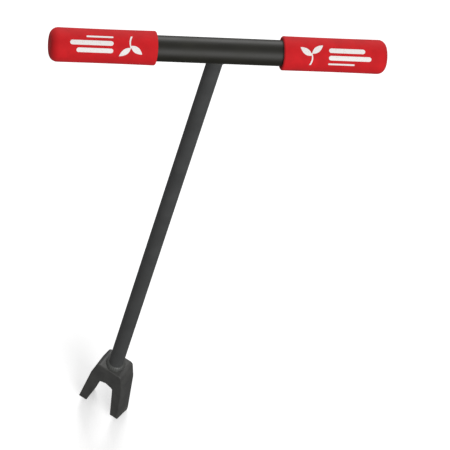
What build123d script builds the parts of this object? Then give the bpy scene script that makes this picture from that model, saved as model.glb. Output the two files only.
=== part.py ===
from build123d import *
import os
from math import cos, radians, sin, tan

os.makedirs("parts", exist_ok=True)

# Stand-up weeder: a welded steel T with a two-tined fork at its foot.
# Millimetres. The crossbar lies along X, the shaft along Z, and Z = 0 is at the tips of the tines.

# --- Driving dimensions ---
overall_height = 900.0  # tine tips to the top of the grips

crossbar_diameter = 32.0
crossbar_wall = 2.0
crossbar_length = 400.0

shaft_diameter = 20.0
shaft_wall = 2.0

grip_foam = 5.0  # wall of the sleeve round the tube
grip_length = 130.0  # from the open end to the closed end
grip_end_wall = 8.0  # foam beyond the end of the tube
grip_end_round = 10.0
grip_mouth_round = 2.0

fork_turn = 36.0  # degrees that the fork is turned about the shaft, right tine to the front
fork_height = 112.0  # tips to the seat of the shaft
fork_crown_margin = 5.0  # the crown beyond the weld bead, left and right
fork_depth = 32.0  # front face to back face
fork_shoulder_width = 50.0  # over the outer faces, where they turn down
fork_shoulder_height = 84.0
tine_thickness = 11.5  # at the tips
tine_splay = 5.0  # degrees that the outer face of each tine leans outwards
fork_gap_width = 22.0  # between the tines, at the tops of their inner faces
inner_face_height = 74.0
crotch_rise = 4.0  # how far the crotch is arched above the tops of the inner faces
crown_round = 6.0
shoulder_round = 25.0
crotch_round = 5.0
fork_edge_round = 1.5
tip_slant = 12.0  # how much higher each tip is at its front edge
tip_corner_height = 6.0  # the cut that takes off each tip's back corner
tip_corner_depth = 3.0

fork_weld_leg = 3.5  # out over the crown
fork_weld_rise = 6.0  # up the shaft
crossbar_weld_leg = 4.0
weld_bulge = 0.6  # a flat bead would be 0.5

# --- Places that follow from them ---
crossbar_radius = crossbar_diameter / 2
shaft_radius = shaft_diameter / 2
grip_radius = crossbar_radius + grip_foam
crossbar_height = overall_height - grip_radius
splay_run = tan(radians(tine_splay))

fork_plane = Plane(
    origin=(0, 0, 0),
    x_dir=(cos(radians(fork_turn)), -sin(radians(fork_turn)), 0),
    z_dir=(-sin(radians(fork_turn)), -cos(radians(fork_turn)), 0),
)

fork_side_plane = Plane(origin=(0, 0, 0), x_dir=-fork_plane.z_dir, z_dir=fork_plane.x_dir)

# --- Crossbar: one length of round tube ---
with BuildPart() as crossbar_tube:
    with BuildSketch(Plane.YZ.offset(-crossbar_length / 2)):
        with Locations((0, crossbar_height)):
            Circle(crossbar_radius)
            Circle(crossbar_radius - crossbar_wall, mode=Mode.SUBTRACT)
    extrude(amount=crossbar_length)

# --- Shaft: round tube, square at the foot and coped to the crossbar at the top ---
with BuildPart() as shaft:
    with BuildSketch(Plane.XY.offset(fork_height)):
        Circle(shaft_radius)
        Circle(shaft_radius - shaft_wall, mode=Mode.SUBTRACT)
    extrude(amount=crossbar_height - fork_height)
    with BuildSketch(Plane.YZ):
        with Locations((0, crossbar_height)):
            Circle(crossbar_radius)
    extrude(amount=shaft_diameter, both=True, mode=Mode.SUBTRACT)

# --- Fork: a thick steel head with two flat tines that splay a little ---
fork_weld_radius = shaft_radius + fork_weld_leg
half_crown = fork_weld_radius + fork_crown_margin
half_depth = fork_depth / 2
half_shoulder = fork_shoulder_width / 2
half_gap = fork_gap_width / 2
outer_tip = half_shoulder + fork_shoulder_height * splay_run
inner_tip = outer_tip - tine_thickness

with BuildPart() as fork_head:
    with BuildSketch(fork_plane) as profile:
        with BuildLine():
            Polyline(
                (0, fork_height),
                (half_crown, fork_height),
                (half_shoulder, fork_shoulder_height),
                (outer_tip, 0),
                (inner_tip, 0),
                (half_gap, inner_face_height),
                (0, inner_face_height + crotch_rise),
            )
            mirror(about=Plane.YZ)
        make_face()
        for x, y, size in (
            (half_gap, inner_face_height, crotch_round),
            (half_shoulder, fork_shoulder_height, shoulder_round),
            (half_crown, fork_height, crown_round),
        ):
            for side in (-1, 1):
                fillet(profile.vertices().sort_by_distance((side * x, y, 0))[0], size)
    extrude(amount=half_depth, both=True)
    # The tips are sheared on a slant, and their sharp back corners are cut off.
    lowest_point = half_depth - tip_corner_depth
    with BuildSketch(fork_side_plane):
        Polygon((-half_depth, 0), (lowest_point, 0), (-half_depth, tip_slant), align=None)
        Polygon((half_depth, 0), (half_depth, tip_corner_height), (lowest_point, 0), align=None)
    extrude(amount=2 * outer_tip, both=True, mode=Mode.SUBTRACT)
    front_and_back = fork_head.faces().filter_by(fork_plane)
    fillet(front_and_back.edges(), fork_edge_round)

# --- Weld beads: each is a separate run of weld metal in the corner that it fills ---
with BuildPart() as fork_weld:
    with BuildSketch(Plane.XZ):
        with BuildLine():
            Polyline(
                (shaft_radius, fork_height),
                (fork_weld_radius, fork_height),
                (shaft_radius + fork_weld_leg * weld_bulge, fork_height + fork_weld_rise * weld_bulge),
                (shaft_radius, fork_height + fork_weld_rise),
                close=True,
            )
        make_face()
    revolve(axis=Axis.Z)

with BuildPart() as crossbar_weld:
    with BuildSketch(Plane.XY.offset(crossbar_height - crossbar_radius - crossbar_weld_leg)):
        Circle(shaft_radius + crossbar_weld_leg)
        Circle(shaft_radius, mode=Mode.SUBTRACT)
    extrude(amount=crossbar_radius + crossbar_weld_leg)
    with BuildSketch(Plane.YZ.offset(-shaft_diameter)):
        with Locations((0, crossbar_height)):
            Circle(crossbar_radius + crossbar_weld_leg)
    extrude(amount=2 * shaft_diameter, mode=Mode.INTERSECT)
    with BuildSketch(Plane.YZ.offset(-shaft_diameter)):
        with Locations((0, crossbar_height)):
            Circle(crossbar_radius)
    extrude(amount=2 * shaft_diameter, mode=Mode.SUBTRACT)

# --- Grips: closed-ended sleeves, pushed on the crossbar until the tube meets the end wall ---
grip_end_x = crossbar_length / 2 + grip_end_wall

with BuildPart() as right_grip:
    with BuildSketch(Plane.YZ.offset(grip_end_x - grip_length)):
        with Locations((0, crossbar_height)):
            Circle(grip_radius)
    extrude(amount=grip_length)
    fillet(right_grip.edges().sort_by(Axis.X)[-1], grip_end_round)
    fillet(right_grip.edges().sort_by(Axis.X)[0], grip_mouth_round)
    with BuildSketch(Plane.YZ.offset(grip_end_x - grip_length)):
        with Locations((0, crossbar_height)):
            Circle(crossbar_radius)
    extrude(amount=grip_length - grip_end_wall, mode=Mode.SUBTRACT)

with BuildPart() as left_grip:
    add(mirror(right_grip.part, about=Plane.YZ, mode=Mode.PRIVATE))

pieces = {
    "crossbar_tube": crossbar_tube,
    "shaft": shaft,
    "fork_head": fork_head,
    "fork_weld": fork_weld,
    "crossbar_weld": crossbar_weld,
    "right_grip": right_grip,
    "left_grip": left_grip,
}
for name, piece in pieces.items():
    piece.part.label = name
    export_step(piece.part, f"parts/{name}.step")
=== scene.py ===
from math import cos, hypot, pi, radians, sin, sqrt

import bpy
from mathutils import Matrix, Vector


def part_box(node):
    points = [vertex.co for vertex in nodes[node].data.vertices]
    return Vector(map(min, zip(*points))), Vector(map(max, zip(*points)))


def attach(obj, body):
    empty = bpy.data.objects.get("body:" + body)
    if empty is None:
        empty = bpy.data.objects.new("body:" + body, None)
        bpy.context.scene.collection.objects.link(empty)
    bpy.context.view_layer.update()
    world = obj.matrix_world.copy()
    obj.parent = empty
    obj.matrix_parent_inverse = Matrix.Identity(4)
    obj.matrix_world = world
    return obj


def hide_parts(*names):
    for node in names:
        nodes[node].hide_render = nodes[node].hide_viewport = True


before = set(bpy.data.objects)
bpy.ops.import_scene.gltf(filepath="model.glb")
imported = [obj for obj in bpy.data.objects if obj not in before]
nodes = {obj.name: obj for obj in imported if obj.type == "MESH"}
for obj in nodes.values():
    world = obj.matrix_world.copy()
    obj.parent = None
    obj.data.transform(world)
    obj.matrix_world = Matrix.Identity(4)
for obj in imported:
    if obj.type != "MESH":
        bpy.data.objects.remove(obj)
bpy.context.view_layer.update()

# --- Shaft ---
# A length of round steel tube, square at the foot and coped to fit round the crossbar.
# It is powder coated after welding, in a charcoal with a low satin shine.

MM = 0.001


def tone(hex_code):
    """An sRGB hex value as a linear colour."""
    channels = [int(hex_code[i : i + 2], 16) / 255 for i in (1, 3, 5)]
    linear = [c / 12.92 if c <= 0.04045 else ((c + 0.055) / 1.055) ** 2.4 for c in channels]
    return (*linear, 1.0)


def add_node(tree, kind, settings=None, links=None):
    """A node with its settings, its socket values, and its inputs linked to other nodes' outputs.
    A socket goes by its name, or by its number where a node has several of one name."""
    made = tree.nodes.new(kind)
    for name, value in (settings or {}).items():
        if isinstance(name, str) and hasattr(made, name):
            setattr(made, name, value)
        else:
            made.inputs[name].default_value = value
    for name, source in (links or {}).items():
        tree.links.new(source, made.inputs[name])
    return made


def new_material(name):
    """An empty material: its node tree and its output node."""
    material = bpy.data.materials.new(name)
    material.use_nodes = True
    tree = material.node_tree
    tree.nodes.clear()
    return material, tree, tree.nodes.new("ShaderNodeOutputMaterial")


def powder_coat(name, colour, lighter, roughness, peel_mm):
    """Polyester powder, sprayed dry and baked on steel. It gives a satin film with a faint orange
    peel, whose tone and gloss drift a little along the tube."""
    material, tree, output = new_material(name)
    place = add_node(tree, "ShaderNodeTexCoord").outputs["Object"]
    peel = add_node(
        tree,
        "ShaderNodeTexNoise",
        {"Scale": 1 / (peel_mm * MM), "Detail": 2.0, "Roughness": 0.5},
        {"Vector": place},
    )
    drift = add_node(
        tree, "ShaderNodeTexNoise", {"Scale": 1 / (35 * MM), "Detail": 3.0}, {"Vector": place}
    )
    tones = add_node(tree, "ShaderNodeValToRGB", {}, {"Fac": drift.outputs["Fac"]})
    for stop, at, shade in zip(tones.color_ramp.elements, (0.3, 0.7), (colour, lighter)):
        stop.position, stop.color = at, tone(shade)
    gloss = add_node(
        tree,
        "ShaderNodeMapRange",
        {"To Min": roughness - 0.05, "To Max": roughness + 0.08},
        {"Value": drift.outputs["Fac"]},
    )
    ripple = add_node(
        tree,
        "ShaderNodeBump",
        {"Strength": 0.25, "Distance": 0.15 * MM},
        {"Height": peel.outputs["Fac"]},
    )
    skin = add_node(
        tree,
        "ShaderNodeBsdfPrincipled",
        {"Metallic": 0.0, "IOR": 1.5},
        {
            "Base Color": tones.outputs["Color"],
            "Roughness": gloss.outputs["Result"],
            "Normal": ripple.outputs["Normal"],
        },
    )
    tree.links.new(skin.outputs["BSDF"], output.inputs["Surface"])
    return material


def finish_node(name, material):
    """A CAD node keeps its own mesh and takes this material."""
    piece = nodes[name]
    piece.data.materials.clear()
    piece.data.materials.append(material)


shaft_coat = powder_coat("charcoal_powder_coat", "#454646", "#515252", 0.42, 1.6)
finish_node("shaft", shaft_coat)

# --- Fork head ---
# A thick steel head with two flat tines, cut on a slant at the tips, and coated like the shaft.
# Work in soil has rubbed the coat thin towards the tips and along the edges, where grey steel shows.


def worn_fork_coat():
    """The same baked powder over sheared and ground steel: satin charcoal, with fine scratches, and
    scuffed to grey metal over the last centimetres of each tine and along the edges."""
    material, tree, output = new_material("worn_charcoal_powder_coat")
    tip_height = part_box("fork_head")[0][2]
    place = add_node(tree, "ShaderNodeTexCoord").outputs["Object"]
    height = add_node(tree, "ShaderNodeSeparateXYZ", {}, {"Vector": place})
    drift = add_node(
        tree, "ShaderNodeTexNoise", {"Scale": 1 / (18 * MM), "Detail": 4.0}, {"Vector": place}
    )
    # Scratches run up the tines, 1.5 mm across and 22 mm long, drawn coarser than real ones to show.
    scratch_scale = (1 / (1.5 * MM), 1 / (1.5 * MM), 1 / (22 * MM))
    stretched = add_node(tree, "ShaderNodeMapping", {"Scale": scratch_scale}, {"Vector": place})
    scratch = add_node(
        tree,
        "ShaderNodeTexNoise",
        {"Scale": 1.0, "Detail": 3.0},
        {"Vector": stretched.outputs["Vector"]},
    )
    coat_tones = add_node(tree, "ShaderNodeValToRGB", {}, {"Fac": drift.outputs["Fac"]})
    for stop, at, shade in zip(coat_tones.color_ramp.elements, (0.3, 0.7), ("#424241", "#525250")):
        stop.position, stop.color = at, tone(shade)
    worn_length = 40 * MM  # of each tine, from the tip
    near_tip = add_node(
        tree,
        "ShaderNodeMapRange",
        {"From Min": tip_height, "From Max": tip_height + worn_length, "To Min": 0.8, "To Max": 0.0},
        {"Value": height.outputs["Z"]},
    )
    # An edge is where the normal of a rounded copy of the surface leaves the surface's own.
    edge_normal = add_node(tree, "ShaderNodeBevel", {"samples": 4, "Radius": 1.2 * MM})
    flat_normal = add_node(tree, "ShaderNodeNewGeometry")
    facing = add_node(
        tree,
        "ShaderNodeVectorMath",
        {"operation": "DOT_PRODUCT"},
        {0: edge_normal.outputs["Normal"], 1: flat_normal.outputs["Normal"]},
    )
    edge = add_node(
        tree,
        "ShaderNodeMapRange",
        {"From Min": 0.99, "From Max": 0.88, "To Min": 0.0, "To Max": 0.6},
        {"Value": facing.outputs["Value"]},
    )
    reach = add_node(
        tree,
        "ShaderNodeMath",
        {"operation": "ADD"},
        {0: near_tip.outputs["Result"], 1: edge.outputs["Result"]},
    )
    rub = add_node(
        tree,
        "ShaderNodeMath",
        {"operation": "MULTIPLY"},
        {0: reach.outputs["Value"], 1: scratch.outputs["Fac"]},
    )
    bare = add_node(
        tree,
        "ShaderNodeMapRange",
        {"From Min": 0.26, "From Max": 0.46, "To Min": 0.0, "To Max": 0.7},
        {"Value": rub.outputs["Value"]},
    )
    # Sockets 0, 6 and 7 of a colour mix are its factor and colours, and output 2 is its result.
    colour = add_node(
        tree,
        "ShaderNodeMix",
        {"data_type": "RGBA", 7: tone("#a3a19c")},
        {0: bare.outputs["Result"], 6: coat_tones.outputs["Color"]},
    )
    bump = add_node(
        tree,
        "ShaderNodeBump",
        {"Strength": 0.3, "Distance": 0.2 * MM},
        {"Height": scratch.outputs["Fac"]},
    )
    skin = add_node(
        tree,
        "ShaderNodeBsdfPrincipled",
        {"Roughness": 0.47},
        {
            "Base Color": colour.outputs[2],
            "Metallic": bare.outputs["Result"],
            "Normal": bump.outputs["Normal"],
        },
    )
    tree.links.new(skin.outputs["BSDF"], output.inputs["Surface"])
    return material


fork_coat = worn_fork_coat()
finish_node("fork_head", fork_coat)

# --- Fork weld ---
# A fillet bead of weld metal runs all round the foot of the shaft on the crown of the fork.
# It was laid by hand, so it has a ripple for each pulse of the torch, and it is coated over.


def make_mesh(name, points, faces, material, smooth=True):
    mesh = bpy.data.meshes.new(name)
    mesh.from_pydata(points, [], faces)
    mesh.materials.append(material)
    for face in mesh.polygons:
        face.use_smooth = smooth
    mesh.update()
    piece = bpy.data.objects.new(name, mesh)
    bpy.context.scene.collection.objects.link(piece)
    return piece


def weld_bead(name, tube_radius, leg, rise, seat_height, grows, material):
    """A rippled fillet round an upright tube. seat_height(x, y) is the surface that the bead sits on,
    and grows is 1 when the bead climbs up the tube from it, or -1 when it hangs down."""
    steps = 288  # round the tube
    section = 9  # points across the face of the bead
    ripple_pitch = 2.4 * MM
    ripples = round(2 * pi * tube_radius / ripple_pitch)
    sunk = 0.3 * MM  # how deep the bead's edges and root lie in the steel
    points = []
    for i in range(steps):
        turn = 2 * pi * i / steps
        out = Vector((cos(turn), sin(turn), 0))
        outward = (out + Vector((0, 0, grows))).normalized()
        root = out * tube_radius
        seat = seat_height(root.x, root.y)
        root.z = seat
        # The hand that laid the bead wandered by up to 0.4 mm.
        wander = 0.25 * MM * sin(3 * turn + 1) + 0.15 * MM * sin(7 * turn)
        for j in range(section):
            along = j / (section - 1)
            # Each ripple lags in the middle of the bead, which gives its crescent shape.
            lag = 0.9 * sin(pi * along)
            pulse = abs(sin(ripples * turn / 2 + lag))
            toe = out * (tube_radius + leg + wander)
            toe.z = seat_height(toe.x, toe.y) - grows * sunk
            top = out * (tube_radius - sunk)
            top.z = seat + grows * (rise + wander)
            # The face is crowned by 0.55 mm, and each ripple stands up to 0.35 mm above that.
            bulge = (0.55 * MM + 0.35 * MM * pulse) * sin(pi * along)
            points.append(toe.lerp(top, along) + outward * bulge)
        points.append(root - outward * sunk)
    ring = section + 1
    faces = []
    for i in range(steps):
        here, following = i * ring, (i + 1) % steps * ring
        for j in range(ring):
            beside = (j + 1) % ring
            corners = (here + j, here + beside, following + beside, following + j)
            faces.append(corners if grows < 0 else corners[::-1])
    return make_mesh(name, points, faces, material)


shaft_low, shaft_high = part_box("shaft")
shaft_radius = (shaft_high[0] - shaft_low[0]) / 2
crown_height = shaft_low[2]
bead_low, bead_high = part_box("fork_weld")
bead_leg = (bead_high[0] - bead_low[0]) / 2 - shaft_radius
bead_rise = bead_high[2] - bead_low[2]

bead_coat = powder_coat("charcoal_powder_coat_on_weld", "#454644", "#5a5b59", 0.34, 1.2)
fork_bead = weld_bead(
    "fork_weld_bead", shaft_radius, bead_leg, bead_rise, lambda x, y: crown_height, 1, bead_coat
)
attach(fork_bead, "root")
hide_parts("fork_weld")

# --- Crossbar ---
# A length of thicker round steel tube laid across the head of the shaft, coated a warmer black.
# Its ends are hidden in the grips.

crossbar_coat = powder_coat("olive_black_powder_coat", "#13120a", "#1d1c12", 0.5, 1.8)
finish_node("crossbar_tube", crossbar_coat)

# --- Crossbar weld ---
# The same kind of fillet bead, in the same weld metal and coated over like the other, follows the
# saddle line where the coped shaft meets the crossbar.

bar_low, bar_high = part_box("crossbar_tube")
bar_radius = (bar_high[2] - bar_low[2]) / 2
bar_height = (bar_high[2] + bar_low[2]) / 2


def under_crossbar(x, y):
    """The height of the crossbar's lower surface at y."""
    return bar_height - sqrt(max(bar_radius**2 - y**2, 0.0))


bar_bead_low, bar_bead_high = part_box("crossbar_weld")
bar_bead_leg = (bar_bead_high[0] - bar_bead_low[0]) / 2 - shaft_radius
bar_bead = weld_bead(
    "crossbar_weld_bead", shaft_radius, bar_bead_leg, bar_bead_leg, under_crossbar, -1, bead_coat
)
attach(bar_bead, "root")
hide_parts("crossbar_weld")

# --- Grips ---
# Two closed-ended sleeves of red closed-cell foam rubber, moulded to length, wetted and pushed on
# to the crossbar, where they hold by their own squeeze. The mouth is cut square, with its edge eased,
# and the far end is rounded.


def foam_rubber(name, colour, darker):
    """Nitrile foam, moulded and ground to size. It is matt, with cells cut across by the grinding,
    which show as fine pits, and soft broad mottling. The cells are about 0.3 mm across and are drawn
    three times as coarse so that they show."""
    material, tree, output = new_material(name)
    place = add_node(tree, "ShaderNodeTexCoord").outputs["Object"]
    cells = add_node(tree, "ShaderNodeTexVoronoi", {"Scale": 1 / (0.9 * MM)}, {"Vector": place})
    grain = add_node(
        tree, "ShaderNodeTexNoise", {"Scale": 1 / (1.4 * MM), "Detail": 4.0}, {"Vector": place}
    )
    mottle = add_node(
        tree, "ShaderNodeTexNoise", {"Scale": 1 / (14 * MM), "Detail": 3.0}, {"Vector": place}
    )
    tones = add_node(tree, "ShaderNodeValToRGB", {}, {"Fac": mottle.outputs["Fac"]})
    for stop, at, shade in zip(tones.color_ramp.elements, (0.3, 0.7), (darker, colour)):
        stop.position, stop.color = at, tone(shade)
    pits = add_node(
        tree,
        "ShaderNodeBump",
        {"Strength": 0.35, "Distance": 0.2 * MM},
        {"Height": cells.outputs["Distance"]},
    )
    skin_grain = add_node(
        tree,
        "ShaderNodeBump",
        {"Strength": 0.3, "Distance": 0.15 * MM},
        {"Height": grain.outputs["Fac"], "Normal": pits.outputs["Normal"]},
    )
    skin = add_node(
        tree,
        "ShaderNodeBsdfPrincipled",
        {"Roughness": 0.8, "IOR": 1.4, "Sheen Weight": 0.05, "Sheen Roughness": 0.5},
        {"Base Color": tones.outputs["Color"], "Normal": skin_grain.outputs["Normal"]},
    )
    tree.links.new(skin.outputs["BSDF"], output.inputs["Surface"])
    return material


grip_low, grip_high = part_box("right_grip")
grip_radius = (grip_high[2] - grip_low[2]) / 2
grip_length = grip_high[0] - grip_low[0]
end_wall = grip_high[0] - bar_high[0]
end_round = 10 * MM
mouth_round = 2 * MM
waist = 0.25 * MM  # how much thinner the wall is midway, where pushing on stretched it most
grip_around = 128  # points round the sleeve


def grip_profile():
    """(distance from the mouth, radius), from the bottom of the bore to the middle of the far end."""
    bore = bar_radius + 0.05 * MM
    bottom = grip_length - end_wall
    lip = 0.8 * MM  # the chamfer inside the mouth
    line = [(bottom, 0.0), (bottom, bore), (lip, bore), (0.0, bore + lip)]
    mouth_steps, barrel_steps, end_steps, face_steps = 6, 44, 12, 4
    for k in range(mouth_steps + 1):
        turn = pi / 2 * k / mouth_steps
        line.append((mouth_round * (1 - cos(turn)), grip_radius - mouth_round * (1 - sin(turn))))
    start, stop = mouth_round, grip_length - end_round
    for k in range(1, barrel_steps):
        along = start + (stop - start) * k / barrel_steps
        line.append((along, grip_radius - waist * sin(pi * k / barrel_steps)))
    for k in range(end_steps + 1):
        turn = pi / 2 * k / end_steps
        line.append((stop + end_round * sin(turn), grip_radius - end_round * (1 - cos(turn))))
    for k in range(1, face_steps):
        line.append((grip_length, (grip_radius - end_round) * (1 - k / face_steps)))
    line.append((grip_length, 0.0))
    return line


def grip_sleeve(name, mouth_x, heading, material):
    """The profile turned about the crossbar. heading is 1 where the closed end points to +X, or -1."""
    profile = grip_profile()
    points, faces, rings = [], [], []
    for along, radius in profile:
        x = mouth_x + heading * along
        if radius == 0.0:
            rings.append([len(points)] * grip_around)
            points.append((x, 0.0, bar_height))
            continue
        rings.append(list(range(len(points), len(points) + grip_around)))
        for k in range(grip_around):
            turn = 2 * pi * k / grip_around
            points.append((x, radius * cos(turn), bar_height + radius * sin(turn)))
    for ring, beside in zip(rings, rings[1:]):
        for k in range(grip_around):
            following = (k + 1) % grip_around
            # Where a ring is a single point, the face is a triangle.
            corners = list(dict.fromkeys([ring[k], beside[k], beside[following], ring[following]]))
            faces.append(corners[::-1] if heading > 0 else corners)
    return make_mesh(name, points, faces, material)


red_foam = foam_rubber("red_nitrile_foam", "#e0151e", "#cf1019")
sleeves = {}
for side, heading in (("right", 1), ("left", -1)):
    low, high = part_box(f"{side}_grip")
    mouth_x = low[0] if heading > 0 else high[0]
    sleeve = grip_sleeve(f"{side}_foam_grip", mouth_x, heading, red_foam)
    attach(sleeve, "root")
    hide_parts(f"{side}_grip")
    sleeves[heading] = (sleeve, mouth_x)

# --- Print on the grips ---
# White ink pad-printed on the foam: a plain two-leaved sprout and three plain bars, no lettering.
# Both grips are the same moulding, so on the left one the print is the other way up.


def pad_print_ink():
    """White flexible ink, stamped on the foam. It is matt, and thin enough that red grins through."""
    material, tree, output = new_material("white_pad_print_ink")
    place = add_node(tree, "ShaderNodeTexCoord").outputs["Object"]
    speckle = add_node(
        tree, "ShaderNodeTexNoise", {"Scale": 1 / (1.1 * MM), "Detail": 3.0}, {"Vector": place}
    )
    tones = add_node(tree, "ShaderNodeValToRGB", {}, {"Fac": speckle.outputs["Fac"]})
    for stop, at, shade in zip(tones.color_ramp.elements, (0.28, 0.42), ("#e9b9b6", "#fffdfb")):
        stop.position, stop.color = at, tone(shade)
    skin = add_node(
        tree, "ShaderNodeBsdfPrincipled", {"Roughness": 0.6}, {"Base Color": tones.outputs["Color"]}
    )
    tree.links.new(skin.outputs["BSDF"], output.inputs["Surface"])
    return material


print_facing = radians(56)  # how far up from the front the middle of the print faces
ink_height = 0.12 * MM
ink_follows = 0.8  # of the waist, so that the ink never dips under the foam


def bar_shape(left, right, bottom, top):
    """A rounded bar, as a function of (s, t) from 0 to 1 that gives millimetres along and up."""
    middle, half = (bottom + top) / 2, (top - bottom) / 2

    def at(s, t):
        along = left + (right - left) * (1 - cos(pi * s)) / 2
        inset = max(left + half - along, along - right + half, 0.0)
        tall = sqrt(max(half**2 - inset**2, 0.0))
        return along, middle + tall * (2 * t - 1)

    return at


def leaf_shape(base, tip, width):
    """A pointed leaf from base to tip."""
    along = (tip[0] - base[0], tip[1] - base[1])
    length = hypot(*along)
    across = (-along[1] / length, along[0] / length)

    def at(s, t):
        # The leaf is fullest a little nearer its base.
        half = width / 2 * sin(pi * s) ** 0.8 * (1 - 0.25 * s) if 0 < s < 1 else 0.0
        offset = half * (2 * t - 1)
        return tuple(base[k] + along[k] * s + across[k] * offset for k in (0, 1))

    return at


def stem_shape(foot, head, width, bow):
    """A bowed stem that thins towards its head."""

    def at(s, t):
        bend = bow * sin(pi * s)
        half = width / 2 * (1 - 0.4 * s)
        along = foot[0] + (head[0] - foot[0]) * s + bend + half * (2 * t - 1)
        return along, foot[1] + (head[1] - foot[1]) * s

    return at


# Millimetres from the mouth of the grip, and up from the middle of the print.
print_shapes = [
    bar_shape(55, 100, 2.6, 8.4),
    bar_shape(55, 108, -6.6, -0.8),
    bar_shape(55, 88, -13.0, -10.6),
    leaf_shape((33.5, -1.5), (19.5, 8.5), 8.5),
    leaf_shape((34.0, 1.0), (47.5, 12.0), 8.0),
    stem_shape((32.5, -14.0), (33.6, 1.5), 2.2, 1.6),
]


def printed_patch(shape, mouth_x, heading, start, points, faces):
    """Lays one shape on the sleeve as a fine grid that follows its curve."""
    across, up = 40, 8
    for i in range(across + 1):
        for j in range(up + 1):
            along, rise = shape(i / across, j / up)
            turn = print_facing + heading * rise * MM / grip_radius
            drawn_in = waist * sin(pi * along * MM / grip_length)
            radius = grip_radius + ink_height - drawn_in * ink_follows
            x = mouth_x + heading * along * MM
            points.append((x, -radius * cos(turn), bar_height + radius * sin(turn)))
    for i in range(across):
        for j in range(up):
            corner = start + i * (up + 1) + j
            faces.append((corner, corner + up + 1, corner + up + 2, corner + 1))


ink = pad_print_ink()
for heading, (sleeve, mouth_x) in sleeves.items():
    points, faces = [], []
    for shape in print_shapes:
        printed_patch(shape, mouth_x, heading, len(points), points, faces)
    side = "right" if heading > 0 else "left"
    mark = make_mesh(f"{side}_grip_print", points, faces, ink)
    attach(mark, "root")

# --- Studio ---
# A white floor that the tines stand on, with one large soft lamp above and behind, and one in front.
# The floor glows a little so that it stays white, and throws back only as much light as a grey one.

floor_half = 12.0
floor_corners = [(-floor_half, -floor_half, 0), (floor_half, -floor_half, 0)]
floor_corners += [(floor_half, floor_half, 0), (-floor_half, floor_half, 0)]
floor_white, floor_tree, floor_output = new_material("white_studio_floor")
floor_skin = add_node(
    floor_tree,
    "ShaderNodeBsdfPrincipled",
    {
        "Base Color": tone("#fafafa"),
        "Roughness": 0.9,
        "Emission Color": tone("#ffffff"),
        "Emission Strength": 0.3,
    },
)
floor_bounce = add_node(floor_tree, "ShaderNodeBsdfDiffuse", {"Color": tone("#6a6a6a")})
seen = add_node(floor_tree, "ShaderNodeLightPath")
floor_mix = add_node(
    floor_tree,
    "ShaderNodeMixShader",
    {},
    {
        0: seen.outputs["Is Camera Ray"],
        1: floor_bounce.outputs["BSDF"],
        2: floor_skin.outputs["BSDF"],
    },
)
floor_tree.links.new(floor_mix.outputs["Shader"], floor_output.inputs["Surface"])
floor = make_mesh("studio_floor", floor_corners, [(0, 1, 2, 3)], floor_white, smooth=False)


def soft_lamp(name, place, aim, size, power):
    lamp = bpy.data.lights.new(name, "AREA")
    lamp.shape, lamp.size, lamp.size_y, lamp.energy = "RECTANGLE", size, size, power
    holder = bpy.data.objects.new(name, lamp)
    holder.location = place
    holder.rotation_euler = (Vector(aim) - Vector(place)).to_track_quat("-Z", "Y").to_euler()
    bpy.context.scene.collection.objects.link(holder)


middle = (0.0, 0.0, 0.45)
soft_lamp("key_lamp", (0.4, 3.6, 2.6), middle, 2.0, 80)
soft_lamp("fill_lamp", (1.0, -3.2, 2.4), middle, 2.6, 82)

world = bpy.data.worlds.new("studio")
bpy.context.scene.world = world
world.use_nodes = True
world.node_tree.nodes["Background"].inputs["Color"].default_value = (1, 1, 1, 1)
world.node_tree.nodes["Background"].inputs["Strength"].default_value = 0.42
bpy.context.scene.view_settings.view_transform = "Standard"

# --- Camera ---
# A long lens that looks steeply down on the tool from the front left, and is rolled so that the
# crossbar lies level.

camera_elevation = radians(56.47)
camera_heading = radians(20.85)
camera_roll = radians(-19.41)
camera_distance = 5.70
camera_aim = Vector((0.0845, 0.0035, 0.4721))

forward = Vector(
    (
        sin(camera_heading) * cos(camera_elevation),
        cos(camera_heading) * cos(camera_elevation),
        -sin(camera_elevation),
    )
)
level_right = forward.cross(Vector((0, 0, 1))).normalized()
level_up = level_right.cross(forward)
up = level_up * cos(camera_roll) + level_right * sin(camera_roll)
right = forward.cross(up)
camera_data = bpy.data.cameras.new("camera")
camera_data.sensor_width = 36.0
camera_data.lens = 352.0
camera_data.clip_end = 100.0
camera = bpy.data.objects.new("camera", camera_data)
camera.matrix_world = Matrix.Translation(camera_aim - forward * camera_distance) @ (
    Matrix((right, up, -forward)).transposed().to_4x4()
)
bpy.context.scene.collection.objects.link(camera)
bpy.context.scene.camera = camera
